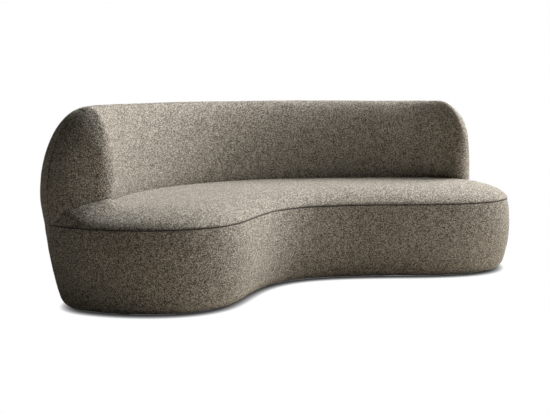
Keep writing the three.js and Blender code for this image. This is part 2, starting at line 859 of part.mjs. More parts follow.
function addFrame() {
  const baseOpening = ringPlate("base_plate", basePlateBottom, (share) => {
    const plateWidth = mix(plateFrontWidth, basePlateRearWidth, rearWeight(share));
    return lowerInset(share, basePlateBottom) + frameLayer + plateWidth;
  });
  const seatOpening = ringPlate("seat_plate", seatPlateTop - plateThickness, (share) =>
    mix(seamInset + frameLayer + plateFrontWidth, seatPlateRearInset, rearWeight(share)));
  addCrossRails(baseOpening);
  addLowerRibs();
  addBackRibs();
  addPart("top_rail", makeTopRail(), "plywood");
  addStraps(seatOpening);
}

// Bent boards over the ribs
function addBoards() {
  addPart("front_board", bandSheet(boardFront, boardBack, firstBoardRow, lowerRows - 1), "board");
  addPart("outer_back_board", outsideBackSheet(boardFront, boardBack, firstBoardRow), "board");
  const cells = backCells(rightSeamStation, leftSeamStation, outerRows, lastRow);
  const at = (layer) => (i, row) => backPoint(i, row, layer);
  addPart("inner_back_board", makeSheet(cells, plainId, at(innerBoardFront), at(innerBoardBack)), "board");
}

function addSoftParts() {
  addPart("seat_foam", makeSeatFoam(), "foam");
  addPart("inside_back_foam", insideBackSheet(paddingFront, foamBack), "foam");
  addPart("band_padding", bandSheet(paddingFront, paddingBack, 0, lowerRows), "wadding");
  addPart("outside_back_padding", outsideBackSheet(paddingFront, paddingBack, 0), "wadding");
}

function addCovers() {
  addPart("seat_cover", makeSeatCover(), "fabric");
  addPart("inside_back_cover", insideBackSheet(0, coverBack), "fabric");
  addPart("front_band_cover", bandSheet(0, coverBack, 0, lowerRows), "fabric");
  addPart("outside_back_cover", outsideBackSheet(0, coverBack, 0), "fabric");
}

addFrame();
addBoards();
addSoftParts();
addCovers();
addUnderside();

export default sofa;
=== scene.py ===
import json
import math

import bpy
import numpy as np
from mathutils import Euler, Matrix, Vector, kdtree, noise
from mathutils.geometry import delaunay_2d_cdt


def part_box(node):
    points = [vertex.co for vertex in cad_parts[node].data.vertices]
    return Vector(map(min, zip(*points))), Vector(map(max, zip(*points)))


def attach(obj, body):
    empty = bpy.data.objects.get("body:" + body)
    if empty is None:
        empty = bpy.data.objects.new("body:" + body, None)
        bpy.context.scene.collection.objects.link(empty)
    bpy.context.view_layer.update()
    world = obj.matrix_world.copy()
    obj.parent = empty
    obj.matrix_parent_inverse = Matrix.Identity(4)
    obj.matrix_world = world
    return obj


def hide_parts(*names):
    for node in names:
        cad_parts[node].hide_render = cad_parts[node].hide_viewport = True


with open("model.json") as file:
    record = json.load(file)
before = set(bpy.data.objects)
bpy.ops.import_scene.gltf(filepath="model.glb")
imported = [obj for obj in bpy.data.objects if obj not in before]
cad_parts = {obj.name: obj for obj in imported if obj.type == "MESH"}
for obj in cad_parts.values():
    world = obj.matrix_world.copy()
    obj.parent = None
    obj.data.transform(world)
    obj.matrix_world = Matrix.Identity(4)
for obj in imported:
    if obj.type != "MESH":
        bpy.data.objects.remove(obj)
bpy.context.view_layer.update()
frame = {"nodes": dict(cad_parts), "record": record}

# Curved sofa, in metres: X to the right, Y to the back, Z up, standing on z = 0.
# The upholstery follows the same plan curve and section as the frame's solids, at a finer step.
# An inset is a distance inwards from the plan outline. The functions' share is a place along the outline, as
# a part of its length: from 0 at the left it runs along the front, and from about 0.5 back along the rear.

# Overall size and the heights of the main lines
WIDTH = 2.22
DEPTH = 1.18
HEIGHT = 0.77
SEAM_HEIGHT = 0.33
WIDEST_HEIGHT = 0.42
HEM_HEIGHT = 0.004
TUCK_HEIGHT = 0.296

# Plan outline: control points of a closed smooth curve, as shares of the width and the depth
OUTLINE_SHARES = [
    (-0.52, -0.14), (-0.45, -0.36), (-0.33, -0.50), (-0.21, -0.48), (-0.11, -0.27), (-0.005, -0.19),
    (0.12, -0.26), (0.26, -0.42), (0.41, -0.455), (0.51, -0.22), (0.48, 0.10), (0.32, 0.32),
    (0.14, 0.465), (-0.065, 0.51), (-0.27, 0.40), (-0.45, 0.12),
]
OUTLINE_SAMPLES = 4000

# Section of the back. At the foot of the inside face, between the heights named curl, the cloth draws in.
CREST_INSET = 0.195
BACK_THICKNESS = 0.29
INNER_FACE_TOP = 0.5
CURL_TOP = 0.47
CURL_FOOT = 0.385
CURL_ROW_SHARE = 0.6
CURL_DEPTH = 0.02
END_CURL_DEPTH = 0.056

# Thickness at the two ends and the run over which it is reached. The right end slims further to its tip.
LEFT_END_THICKNESS = 0.27
RIGHT_END_THICKNESS = 0.245
RIGHT_TIP_THICKNESS = 0.19
LEFT_TAPER_RUN = 0.3
RIGHT_TAPER_RUN = 0.4
TIP_TAPER_FROM = 0.1
TIP_TAPER_RUN = 0.26

# Near the left end the inside half of the section turns less than the outline. It bends between two insets.
LEFT_TURN_RUN = 0.26
LEFT_TURN_KEPT_SHARE = 0.5
BEND_FROM = 0.04
BEND_TO = 0.13

# Lower body: how far the rear and the front draw in at the floor, and the roll of the cloth at the hem
REAR_TOE = 0.105
REAR_TOE_EASE = 1.4
FRONT_TOE = 0.039
BAND_WIDEST_HEIGHT = 0.215
HEM_ROLL = 0.042

# Seat: its crown, how far its edge is drawn in under the back, and the foot of its foam
SEAT_CROWN = 0.068
CROWN_RUN = 0.2
CROWN_EASE = 0.6
HIDDEN_PULL = 0.072
HIDDEN_PULL_SHARE = 0.25
FOAM_BOTTOM = 0.2926

# Ends of the back: each swells from a core line to the full section over the end's run
RIGHT_TIP_SHARE = 0.5035
LEFT_TIP_SHARE = 1.026
END_RUN = 0.16
CORE_INSET = 0.15
CORE_TOP = 0.56
OUTER_END_POWER = 3
LEFT_INNER_END_POWER = 1.9
RIGHT_INNER_END_POWER = 2.3
PROFILE_BLEND_SHARE = 0.035
TIP_DRAW = 2

# Fullness of the stuffing at each tip, over the stretch of insets where the outside and inside halves meet
LEFT_FULLNESS = 0.03
RIGHT_FULLNESS = 0.056
FULL_FROM = 0.0
FULL_MOST = 0.12
FULL_TO = 0.25

# The tips are rounded off by drawing each point towards its neighbours: run, rounds, share of the way, and
# the height over the seam at which this is whole
LEFT_RELAX_RUN = 0.08
RIGHT_RELAX_RUN = 0.16
LEFT_RELAX_ROUNDS = 60
RIGHT_RELAX_ROUNDS = 110
RELAX_SHARE = 0.5
RELAX_RISE = 0.03

# The vertical seams sit this far round from where the ends begin towards the tips
LEFT_SEAM_SHIFT = 0.045
RIGHT_SEAM_SHIFT = -0.1

# Rows of the back's section: outside up to the crest, inside face, then down to the tuck. The core line has
# steps of its own, which are compared to this many digits.
CREST_ROW = 8
FACE_ROW = 13
LAST_ROW = 16
CORE_ROWS = 6
TOP_SEAM_ROW = 7
ROW_DIGITS = 6

# Depth of the padding behind the cloth and of the foam on the inside back
PAD_DEPTH = 0.0153
FOAM_DEPTH = 0.0473

# Mesh: its step, the lines close beside a seam, the part of a step that other lines keep from those, how much
# closer the stations stand at the tips, and a row's length on the cloth against an even part of the height
STEP = 0.009
SEAM_STEPS = [0.0003, 0.0009, 0.0019, 0.0034, 0.006]
LEAST_STEP_SHARE = 0.4
TIP_DENSITY = 1.4
ROW_LENGTH_SHARE = 0.72
ROW_LENGTH = HEIGHT / CREST_ROW * ROW_LENGTH_SHARE

# Seams: gap between two pieces, roll of the cloth beside a seam, run of the shade painted into the
# cloth's colour beside it, and a distance out of reach of both
SEAM_GAP = 0.0006
SEAM_ROLL = 0.005
SEAM_PAINTED_SHADE_RUN = 0.0045
SEAM_FREE = 1.0

# The pile hides the seams where the left end meets the crest: first row, rows over which this sets in, run
# along the outline to both sides of the seam, and how steeply it fades at the end of that run
PILE_FROM_ROW = 5.2
PILE_ROWS = 1.3
PILE_RUN = 0.16
PILE_SLOPE = 2

# Soft unevenness of stuffed cloth: size and depth of each layer of noise, and its shift by seed and by layer
LUMP_SIZES = [(0.34, 0.0016), (0.11, 0.0007), (0.03, 0.0004), (0.02, 0.0006)]
SEED_SHIFT_X = 3.7
SEED_SHIFT_Z = 1.9
LAYER_SHIFT = 5.3

# Seat mesh: rings of the crown, how close the first ones stand beside the seam, and the top of the seam's gap
CROWN_RINGS = 26
CROWN_SEAM_SHARE = 0.4
SEAT_EDGE_HEIGHT = SEAM_HEIGHT + SEAM_GAP / 2

# The back that cuts the seat stands a little proud and reaches below the tuck
CUTTER_PROUD = 0.0012
CUTTER_DROP = 0.04

# The seat's cloth is drawn up in a soft hollow where it runs into the foot of the left arm: height, reach from
# the arm, run from the seam over which it sets in, run before the tip over which it does so on the inside, and
# points for each row of the arm
FOOT_RISE = 0.036
FOOT_RUN = 0.1
FOOT_START = 0.03
FOOT_FADE = 0.1
FOOT_POINTS_PER_ROW = 3

# Filled rings: share of a step that inner points keep from the ring, the distance under which points are one,
# and Blender's number for triangles inside the ring only
FILL_CLEARANCE = 0.6
FILL_MERGE = 1e-7
FILL_INSIDE_ONLY = 1

# Least length that a normal is divided by
TINY = 1e-12

# Cloth under the base: nailed flat round its turned-in edge, and slack in the open middle of the base plate
UNDER_HEIGHT = 0.0202
UNDER_INSET = 0.0311
UNDER_THICKNESS = 0.0008
UNDER_STEP = 0.014
TURN_IN = 0.014
TURN_IN_DEPTH = 0.0007
TURN_IN_SLOPE = 3
SLACK_FROM = 0.125
SLACK_RUN = 0.2
SLACK_DEPTH = 0.005
SLACK_WAVES = [(0.2, 0.0016), (0.05, 0.0006)]

# Looped cloth: loops, fibres and cloudy shifts of tone for each metre, how far the loops wander, depth of the
# relief, and the shares of fibres and loops in it
LOOPS_PER_METRE = 310.0
FIBRES_PER_METRE = 950.0
CLOUDS_PER_METRE = 26.0
LOOP_WANDER = 0.003
LOOP_DEPTH = 0.0025
FIBRE_SHARE = 0.6
LOOP_SHARE = 0.8

# Its colour from a shade painted into the pits between the loops up to the tops of the loops, and the levels
# of the relief where each is reached
PIT_PAINTED_SHADE_COLOR = (0.075, 0.063, 0.040, 1)
LOOP_COLOR = (0.57, 0.52, 0.445, 1)
PIT_LEVEL = 0.5
LOOP_LEVEL = 0.86

# Its tone: least, added by the clouds, added by each loop's own tone, most, and the share lost to painted
# shade in a seam
LEAST_TONE = 0.27
CLOUD_TONE = 0.3
LOOP_TONE = 2.8
MOST_TONE = 1.65
SEAM_PAINTED_SHADE = 0.5

# Sawn wood: grain per metre along the piece, across it and through it, finer pores, and the plies at the edge
# of a sheet
GRAIN_SCALES = (5.0, 90.0, 90.0)
PORE_FINENESS = 4
GRAIN_TONE = 0.7
PORE_TONE = 0.3
LEAST_WOOD_TONE = 0.5
GRAIN_DEPTH = 0.0006
GRAIN_STRENGTH = 0.6
PLY = 0.0015
PLY_DARKNESS = 0.35

# Woven straps: length of a yarn's wave, its depth, how far the tone swings with it as light painted on the
# yarns' crests and shade painted in their hollows, and its middle tone
YARN = 0.0032
YARN_DEPTH = 0.0006
YARN_PAINTED_LIGHT_AND_SHADE = 0.5
STRAP_TONE = 1.2

# Slots painted with fine noise: grains per metre, depth of relief, roughness and contrast
SPECKLED = {
    "board": (420.0, 0.0004, 0.75, 1.2),
    "underside": (800.0, 0.0008, 0.9, 1.6),
    "glide": (900.0, 0.00015, 0.45, 0.6),
    "foam": (700.0, 0.0008, 0.95, 0.5),
    "wadding": (260.0, 0.002, 0.95, 0.3),
    "fabric": (400.0, 0.002, 0.95, 1.0),
}

# Broader noise added to the fine one: how much coarser it is, its share, and the middle of the two together
BROAD_COARSENESS = 30
BROAD_SHARE = 0.5
MIDDLE_SPECK = 0.75

# Camera, fitted to the photograph: place, turn to the right, and pixels of the photograph for its width, the
# focal length and the fall of the view's axis over that length
CAMERA_PLACE = (-2.2315, -3.8605, 0.884)
CAMERA_TURN = math.radians(-30)
PHOTO_WIDTH_PIXELS = 550
FOCAL_PIXELS = 1000
FALL_PIXELS = 129.5
SENSOR_WIDTH_MM = 36

# Lamps: name, bearing from the photograph's view (90 is camera right) and height in degrees, power in watts
LAMPS = [("key", 130, 45, 620.0), ("side", 96, 38, 215.0)]
LAMP_DISTANCE = 6.0
LAMP_SIZE = 4.0
LAMP_TARGET = (0, 0, 0.35)

# White surroundings, the light that they give, and the soft shadow painted on the floor under the piece
WHITE = (1, 1, 1, 1)
WORLD_COLOR = (1.0, 0.85, 0.65, 1)
WORLD_STRENGTH = 0.008
FLOOR_SIZE = 30.0
FLOOR_COLOR = (0.62, 0.57, 0.5, 1)
FLOOR_SHADE_REACH = 0.03
FLOOR_SHADE_POWER = 1.3
FLOOR_SHADE_SAMPLES = 16


def clamp(value):
    return np.clip(value, 0, 1)


def smooth(value):
    return clamp(value) ** 2 * (3 - 2 * clamp(value))


def mix(a, b, share):
    return a + (b - a) * share


def grid(a, b):
    return np.meshgrid(a, b, indexing="ij")


def with_height(xy, height):
    return np.concatenate([xy, np.broadcast_to(height[..., None], xy.shape[:-1] + (1,))], -1)


# Uniform cubic B-spline over a closed row of control points: places and slopes
def spline_at(points, t):
    start = np.floor(t).astype(int)
    f = t - start
    second = 3 * f ** 3 - 6 * f ** 2 + 4
    third = -3 * f ** 3 + 3 * f ** 2 + 3 * f + 1
    places = np.stack([(1 - f) ** 3, second, third, f ** 3], -1)
    slopes = np.stack([-3 * (1 - f) ** 2, 9 * f ** 2 - 12 * f, -9 * f ** 2 + 6 * f + 3, 3 * f ** 2], -1)
    near = points[(start[..., None] + np.arange(-1, 3)) % len(points)]
    return (near * places[..., None]).sum(-2) / 6, (near * slopes[..., None]).sum(-2) / 6


# Plan curve, stretched to the width and the depth
class Outline:
    def __init__(self, shares):
        shares = np.array(shares)
        t = np.linspace(0, len(shares), OUTLINE_SAMPLES // 2, endpoint=False)
        ring, _ = spline_at(shares, t)
        low, high = ring.min(0), ring.max(0)
        self.points = (shares - (low + high) / 2) / (high - low) * [WIDTH, DEPTH]
        self.steps = np.linspace(0, len(shares), OUTLINE_SAMPLES + 1)
        ring, _ = spline_at(self.points, self.steps)
        self.table = np.r_[0, np.cumsum(np.linalg.norm(np.diff(ring, axis=0), axis=1))]
        self.length = self.table[-1]

    # Point and inward normal at a share of the length
    def at(self, share):
        t = np.interp(np.mod(share, 1) * self.length, self.table, self.steps)
        point, slope = spline_at(self.points, t)
        slope = slope / np.linalg.norm(slope, axis=-1, keepdims=True)
        return point, np.stack([-slope[..., 1], slope[..., 0]], -1)


outline = Outline(OUTLINE_SHARES)
RIGHT_END_SHARE = RIGHT_TIP_SHARE + END_RUN / outline.length
LEFT_END_SHARE = LEFT_TIP_SHARE - END_RUN / outline.length
RIGHT_SEAM_SHARE = RIGHT_END_SHARE - RIGHT_SEAM_SHIFT / outline.length
LEFT_SEAM_SHARE = LEFT_END_SHARE + LEFT_SEAM_SHIFT / outline.length
HALFWAY_SHARE = (RIGHT_END_SHARE + LEFT_END_SHARE) / 2


def place(share, inset):
    point, normal = outline.at(share)
    return point + normal * np.asarray(inset)[..., None]


# How far the lower body has the rear's profile: one along the back, blending to none past its two ends
def rear_weight(share):
    run = 2 * PROFILE_BLEND_SHARE
    start = np.mod(share - RIGHT_END_SHARE + PROFILE_BLEND_SHARE, 1)
    span = LEFT_END_SHARE - RIGHT_END_SHARE + run
    return np.where(start > span, 0, smooth(start / run) * smooth((span - start) / run))


def rear_inset(z):
    return REAR_TOE * np.maximum(0, (WIDEST_HEIGHT - z) / WIDEST_HEIGHT) ** REAR_TOE_EASE


SEAM_INSET = float(rear_inset(SEAM_HEIGHT))


def band_inset(z):
    above = SEAM_INSET * ((z - BAND_WIDEST_HEIGHT) / (SEAM_HEIGHT - BAND_WIDEST_HEIGHT)) ** 2
    below = FRONT_TOE * ((BAND_WIDEST_HEIGHT - z) / BAND_WIDEST_HEIGHT) ** 2
    return np.where(z > BAND_WIDEST_HEIGHT, above, below)


def hem_inset(z):
    share = clamp(1 - (z - HEM_HEIGHT) / HEM_ROLL)
    return HEM_ROLL * (1 - np.sqrt(1 - share ** 2))


def lower_inset(share, z):
    return mix(band_inset(z), rear_inset(z), rear_weight(share)) + hem_inset(z)


# Inset and height of the back's section at any row, whole or not
def section_at(row):
    z = SEAM_HEIGHT + (HEIGHT - SEAM_HEIGHT) * np.sin(np.minimum(row, CREST_ROW) / CREST_ROW * math.pi / 2)
    above = clamp((z - WIDEST_HEIGHT) / (HEIGHT - WIDEST_HEIGHT))
    u = rear_inset(z) + CREST_INSET * (1 - np.sqrt(1 - above ** 2))
    angle = np.clip((row - CREST_ROW) / (FACE_ROW - CREST_ROW), 0, 1) * math.pi / 2
    face_u = CREST_INSET + (BACK_THICKNESS - CREST_INSET) * np.sin(angle)
    face_z = INNER_FACE_TOP + (HEIGHT - INNER_FACE_TOP) * np.cos(angle)
    levels = [INNER_FACE_TOP, mix(CURL_TOP, CURL_FOOT, CURL_ROW_SHARE), CURL_FOOT, TUCK_HEIGHT]
    low_z = np.interp(row, np.arange(FACE_ROW, LAST_ROW + 1), levels)
    inside = row > CREST_ROW
    u = np.where(inside, face_u, u)
    z = np.where(inside, np.where(row > FACE_ROW, low_z, face_z), z)
    return u, z


# Step of the core line that a row swells from. Outside and inside rows with the same step meet at the tips.
def core_step(row):
    return np.minimum(np.minimum(CORE_ROWS, row), LAST_ROW - row)


# Inset of the inside half of the section, slimmed towards the ends and curled in at its foot
def inner_inset(share, u, z):
    from_end = np.minimum(LEFT_END_SHARE - share, share - RIGHT_END_SHARE) * outline.length
    right = share < HALFWAY_SHARE
    near = smooth(1 - from_end / np.where(right, RIGHT_TAPER_RUN, LEFT_TAPER_RUN))
    slim = (RIGHT_END_THICKNESS - RIGHT_TIP_THICKNESS) * smooth((TIP_TAPER_FROM - from_end) / TIP_TAPER_RUN)
    thickness = np.where(right, RIGHT_END_THICKNESS - slim, LEFT_END_THICKNESS)
    keep = mix(1, (thickness - CORE_INSET) / (BACK_THICKNESS - CORE_INSET), near)
    curl = clamp((CURL_TOP - z) / (CURL_TOP - CURL_FOOT))
    drawn = mix(CURL_DEPTH, END_CURL_DEPTH, near) * (1 - np.sqrt(1 - curl ** 2))
    return CORE_INSET + (u - CORE_INSET) * keep - drawn


# Plan direction of the inside half of the section
def inner_way(share):
    past = np.maximum(0, share - LEFT_END_SHARE + LEFT_TURN_RUN / outline.length)
    return outline.at(share - past * (1 - LEFT_TURN_KEPT_SHARE))[1]


def place_in_back(share, inset):
    within = np.clip(inset, BEND_FROM, BEND_TO) - BEND_FROM
    bent = within ** 2 / (2 * (BEND_TO - BEND_FROM)) + np.maximum(0, inset - BEND_TO)
    return place(share, inset - bent) + inner_way(share) * bent[..., None]


def fullness(share, inset, away):
    rise = smooth((inset - FULL_FROM) / (FULL_MOST - FULL_FROM))
    fall = smooth((FULL_TO - inset) / (FULL_TO - FULL_MOST))
    most = np.where(share > HALFWAY_SHARE, LEFT_FULLNESS, RIGHT_FULLNESS)
    return most * rise * fall * smooth(away / END_RUN)


# Surface of the back, or a layer at some depth behind it. Away is the distance along the outline from the
# start of an end towards its tip, and is below zero between the two ends.
def back_points(share, away, row, layer=0.0):
    left = share > HALFWAY_SHARE
    swell_share = clamp(1 - away / END_RUN)
    core_z = mix(SEAM_HEIGHT, CORE_TOP, core_step(row) / CORE_ROWS)
    full_u, z = section_at(row)
    u = np.where(full_u > CORE_INSET, inner_inset(share, full_u, z), full_u)
    reach = np.hypot(u - CORE_INSET, z - core_z)
    inner_power = np.where(left, LEFT_INNER_END_POWER, RIGHT_INNER_END_POWER)
    power = mix(OUTER_END_POWER, inner_power, smooth(full_u / CREST_INSET))
    swell = (1 - (1 - swell_share) ** power) ** (1 / power)
    keep = (reach - layer) / reach * swell
    inset = CORE_INSET + (u - CORE_INSET) * keep
    drawn = np.where(away > 0, layer * TIP_DRAW * (1 - swell_share), 0)
    shift = np.where(left, -1, 1) * (drawn - fullness(share, inset, away)) / outline.length
    return with_height(place_in_back(share + shift, inset), core_z + (z - core_z) * keep)


def lower_points(share, z, layer=0.0):
    return with_height(place(share, lower_inset(share, z) + layer), z)


# Even steps from start to end, drawn closer together beside the ends that are sewn
def steps_between(start, end, length, sewn_start=True, sewn_end=True):
    head = SEAM_STEPS if sewn_start else [0.0]
    tail = [length - d for d in reversed(SEAM_STEPS)] if sewn_end else [length]
    low = head[-1] + STEP * LEAST_STEP_SHARE
    high = tail[0] - STEP * LEAST_STEP_SHARE
    even = np.linspace(0, length, max(2, round(length / STEP)) + 1)
    middle = [d for d in even if low < d < high]
    return mix(start, end, np.array(head + middle + tail) / length)


# Distances from where an end begins towards its tip, from the tip back to the seam
def end_runs(shift):
    angles = np.linspace(0, math.pi / 2, round(END_RUN / STEP * TIP_DENSITY) + 1)
    runs = np.r_[END_RUN * np.cos(angles), np.arange(-STEP, shift, -STEP)]
    sewn = shift + np.array(SEAM_STEPS[::-1])
    return np.r_[runs[runs > sewn[0] + STEP * LEAST_STEP_SHARE], sewn]


# Stations along the back, from seam to seam or from the right tip to the left tip, and how far each is away
def back_stations(with_ends=True):
    length = outline.length
    between = (LEFT_SEAM_SHARE - RIGHT_SEAM_SHARE) * length
    share = steps_between(RIGHT_SEAM_SHARE, LEFT_SEAM_SHARE, between)
    if with_ends:
        right = RIGHT_END_SHARE - end_runs(RIGHT_SEAM_SHIFT) / length
        left = LEFT_END_SHARE + end_runs(LEFT_SEAM_SHIFT) / length
        share = np.r_[right, share, left[::-1]]
    return share, np.maximum(share - LEFT_END_SHARE, RIGHT_END_SHARE - share) * length


# Rows of the whole back, or of what lies below a seam, drawn closer together beside it
def back_rows(seam=None):
    per_row = round(ROW_LENGTH / STEP)
    rows = np.linspace(0, LAST_ROW, LAST_ROW * per_row + 1)
    if seam is None:
        return rows
    near = np.array(SEAM_STEPS) / ROW_LENGTH
    below = rows[rows < seam - near[-1] - LEAST_STEP_SHARE / per_row]
    return np.r_[below, seam - near[::-1]]


# Distance along the grid from one of its lines, measured on the surface
def run_from(points, axis, line):
    steps = np.linalg.norm(np.diff(points, axis=axis), axis=-1)
    zero = np.zeros_like(np.take(steps, [0], axis=axis))
    along = np.concatenate([zero, np.cumsum(steps, axis=axis)], axis=axis)
    return np.abs(along - np.take(along, [line], axis=axis))


# Distance on a panel from its two side seams and its top seam
def panel_distance(points):
    across = np.minimum(run_from(points, 0, 0), run_from(points, 0, -1))
    return np.minimum(across, run_from(points, 1, -1))


def grid_ids(points):
    return np.arange(points.shape[0] * points.shape[1]).reshape(points.shape[:2])


# Faces of a grid of vertex numbers, only where keep is true. A cell with a joined side is a triangle.
def grid_faces(ids, keep=None):
    quads = np.stack([ids[:-1, :-1], ids[1:, :-1], ids[1:, 1:], ids[:-1, 1:]], -1).reshape(-1, 4)
    if keep is not None:
        quads = quads[keep.reshape(-1)]
    faces = []
    for quad in quads.tolist():
        face = [v for k, v in enumerate(quad) if v != quad[k - 1]]
        if len(set(face)) >= 3:
            faces.append(tuple(dict.fromkeys(face)))
    return faces


# Faces and lists of values without the vertices that no face uses
def compact(faces, *lists):
    used = sorted({v for face in faces for v in face})
    number = {v: k for k, v in enumerate(used)}
    return [[tuple(number[v] for v in face) for face in faces], *(values[used] for values in lists)]


def border_of(faces):
    edges = {}
    for face in faces:
        for k, a in enumerate(face):
            edges[(face[k - 1], a)] = True
    return [(a, b) for a, b in edges if (b, a) not in edges]


# Closed body from the faces of a sheet: its back has the vertices after them, and a wall joins each border
def closed_faces(faces, count):
    back = [tuple(v + count for v in reversed(face)) for face in faces]
    walls = [(b, a, a + count, b + count) for a, b in border_of(faces)]
    return faces + back + walls


# Vertex normals from the triangles and quads, weighted by area
def normals_of(points, faces):
    total = np.zeros_like(points)
    for size in (3, 4):
        chosen = np.array([face for face in faces if len(face) == size])
        if not len(chosen):
            continue
        first, *rest = points[chosen].swapaxes(0, 1)
        square = sum(np.cross(a - first, b - first) for a, b in zip(rest, rest[1:]))
        for k in range(size):
            np.add.at(total, chosen[:, k], square)
    return total / np.maximum(np.linalg.norm(total, axis=1, keepdims=True), TINY)


def lumps(points, seed):
    height = np.zeros(len(points))
    for k, (size, depth) in enumerate(LUMP_SIZES):
        shift = Vector((seed * SEED_SHIFT_X, k * LAYER_SHIFT, seed * SEED_SHIFT_Z))
        height += [depth * noise.noise(Vector(p) / size + shift) for p in points.tolist()]
    return height


# Added to the distance from the seams where the pile hides them, which leaves no groove and no painted shade
def hidden_seam(share, row):
    from_seam = np.abs(LEFT_SEAM_SHARE - share) * outline.length
    high = smooth((row - PILE_FROM_ROW) / PILE_ROWS)
    near = smooth((1 - from_seam / PILE_RUN) * PILE_SLOPE)
    return SEAM_ROLL * high * near


# Depth by which the cloth rolls in beside a seam
def seam_roll(distance):
    share = clamp(1 - distance / SEAM_ROLL)
    return SEAM_ROLL * (1 - np.sqrt(1 - share ** 2))


# How far each vertex lies in the shade painted along a seam, as an attribute of the mesh that its material
# darkens by
def paint_seam_shade(mesh, distance):
    shade = mesh.attributes.new("seam", "FLOAT", "POINT")
    shade.data.foreach_set("value", smooth(1 - distance / SEAM_PAINTED_SHADE_RUN))


def new_object(name, points, faces, material, seam_distance=None):
    mesh = bpy.data.meshes.new(name)
    mesh.from_pydata(points.tolist(), [], faces)
    if seam_distance is not None:
        paint_seam_shade(mesh, seam_distance)
    mesh.validate()
    mesh.polygons.foreach_set("use_smooth", [True] * len(mesh.polygons))
    mesh.materials.append(material)
    mesh.update()
    piece = bpy.data.objects.new(name, mesh)
    bpy.context.scene.collection.objects.link(piece)
    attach(piece, "root")
    return piece


# Closed pad: uneven cloth outside, rolled in at its seams, its back inside, and a wall along each border
def make_pad(name, outer, inner, faces, distance, material, seed):
    lists = [outer.reshape(-1, 3), inner.reshape(-1, 3), distance.reshape(-1)]
    faces, outer, inner, distance = compact(faces, *lists)
    rise = lumps(outer, seed) - seam_roll(distance)
    outer = outer + normals_of(outer, faces) * rise[:, None]
    points = np.concatenate([outer, inner])
    distance = np.r_[distance, distance]
    return new_object(name, points, closed_faces(faces, len(outer)), material, distance)


# Numbers of the back's vertices, with the outside and inside rows joined at the two tips
def back_ids(stations, rows):
    ids = np.arange(stations * len(rows)).reshape(stations, len(rows))
    step = np.round(core_step(rows), ROW_DIGITS)
    for i in (0, stations - 1):
        first = {}
        for j, key in enumerate(step.tolist()):
            ids[i, j] = first.setdefault(key, ids[i, j])
    return ids


# Rounds the back off near both tips. The right one gets more rounds.
def relax_tips(points, ids, share, away):
    pairs = np.concatenate([np.stack([ids[:-1], ids[1:]], -1).reshape(-1, 2),
                            np.stack([ids[:, :-1], ids[:, 1:]], -1).reshape(-1, 2)])
    pairs = np.unique(np.sort(pairs[pairs[:, 0] != pairs[:, 1]], axis=1), axis=0)
    near = np.r_[pairs[:, 0], pairs[:, 1]]
    far = np.r_[pairs[:, 1], pairs[:, 0]]
    every = points.reshape(-1, 3).copy()
    count = np.maximum(np.bincount(near, minlength=len(every)), 1)
    right = share < HALFWAY_SHARE
    run = np.where(right, RIGHT_RELAX_RUN, LEFT_RELAX_RUN)
    draw = smooth((away - END_RUN + run) / run) * smooth((points[..., 2] - SEAM_HEIGHT) / RELAX_RISE)
    for done in range(RIGHT_RELAX_ROUNDS):
        drawn = RELAX_SHARE * (draw if done < LEFT_RELAX_ROUNDS else draw * right).reshape(-1, 1)
        sums = [np.bincount(near, every[far, axis], len(every)) for axis in range(3)]
        every += drawn * (np.stack(sums, -1) / count[:, None] - every)
    return every[ids]


# The outside back covers the rows below the top seam between the vertical seams: cells that are left to the
# inside back, and the distance of its points from its seams
def inside_back_cells(outer, stations, rows):
    seam_row = int(np.argmin(np.abs(rows - TOP_SEAM_ROW)))
    between = np.flatnonzero((stations > RIGHT_SEAM_SHARE) & (stations < LEFT_SEAM_SHARE))
    right, left = between[0], between[-1]
    cell_i, cell_j = grid(np.arange(len(stations) - 1), np.arange(len(rows) - 1))
    keep = (cell_i < right) | (cell_i >= left) | (cell_j >= seam_row)
    along = np.minimum(run_from(outer, 0, right), run_from(outer, 0, left))
    within = (np.arange(len(stations)) >= right) & (np.arange(len(stations)) <= left)
    along = np.where(within[:, None], 0, along)
    up = np.where(rows >= rows[seam_row], run_from(outer, 1, seam_row), 0)
    return keep, np.hypot(along, up)


def add_inside_back(material):
    stations, away = back_stations()
    rows = back_rows()
    share, row = grid(stations, rows)
    away = np.broadcast_to(away[:, None], share.shape)
    ids = back_ids(len(stations), rows)
    outer = relax_tips(back_points(share, away, row), ids, share, away)
    depth = np.where((away <= 0) & (row < TOP_SEAM_ROW), PAD_DEPTH, FOAM_DEPTH)
    inner = back_points(share, away, row, depth)
    keep, distance = inside_back_cells(outer, stations, rows)
    distance = distance + hidden_seam(share, row)
    faces = grid_faces(ids, keep)
    pad = make_pad("inside_back_upholstery", outer, inner, faces, distance, material, seed=1)
    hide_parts("inside_back_cover", "inside_back_foam")


def add_outside_back(material):
    share, away = back_stations(with_ends=False)
    low_length = SEAM_HEIGHT - HEM_HEIGHT
    heights = steps_between(HEM_HEIGHT, SEAM_HEIGHT, low_length, sewn_start=False, sewn_end=False)
    rows = back_rows(TOP_SEAM_ROW)
    low_share, z = grid(share, heights[:-1])
    high_share, row = grid(share, rows)
    high_away = np.broadcast_to(away[:, None], row.shape)
    layers = []
    for layer in (0.0, PAD_DEPTH):
        low = lower_points(low_share, z, layer)
        high = back_points(high_share, high_away, row, layer)
        layers.append(np.concatenate([low, high], 1))
    outer, inner = layers
    distance = panel_distance(outer)
    distance[:, -len(rows):] += hidden_seam(high_share, row)
    faces = grid_faces(grid_ids(outer))
    pad = make_pad("outside_back_upholstery", outer, inner, faces, distance, material, seed=2)
    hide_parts("outside_back_cover", "outside_back_padding")


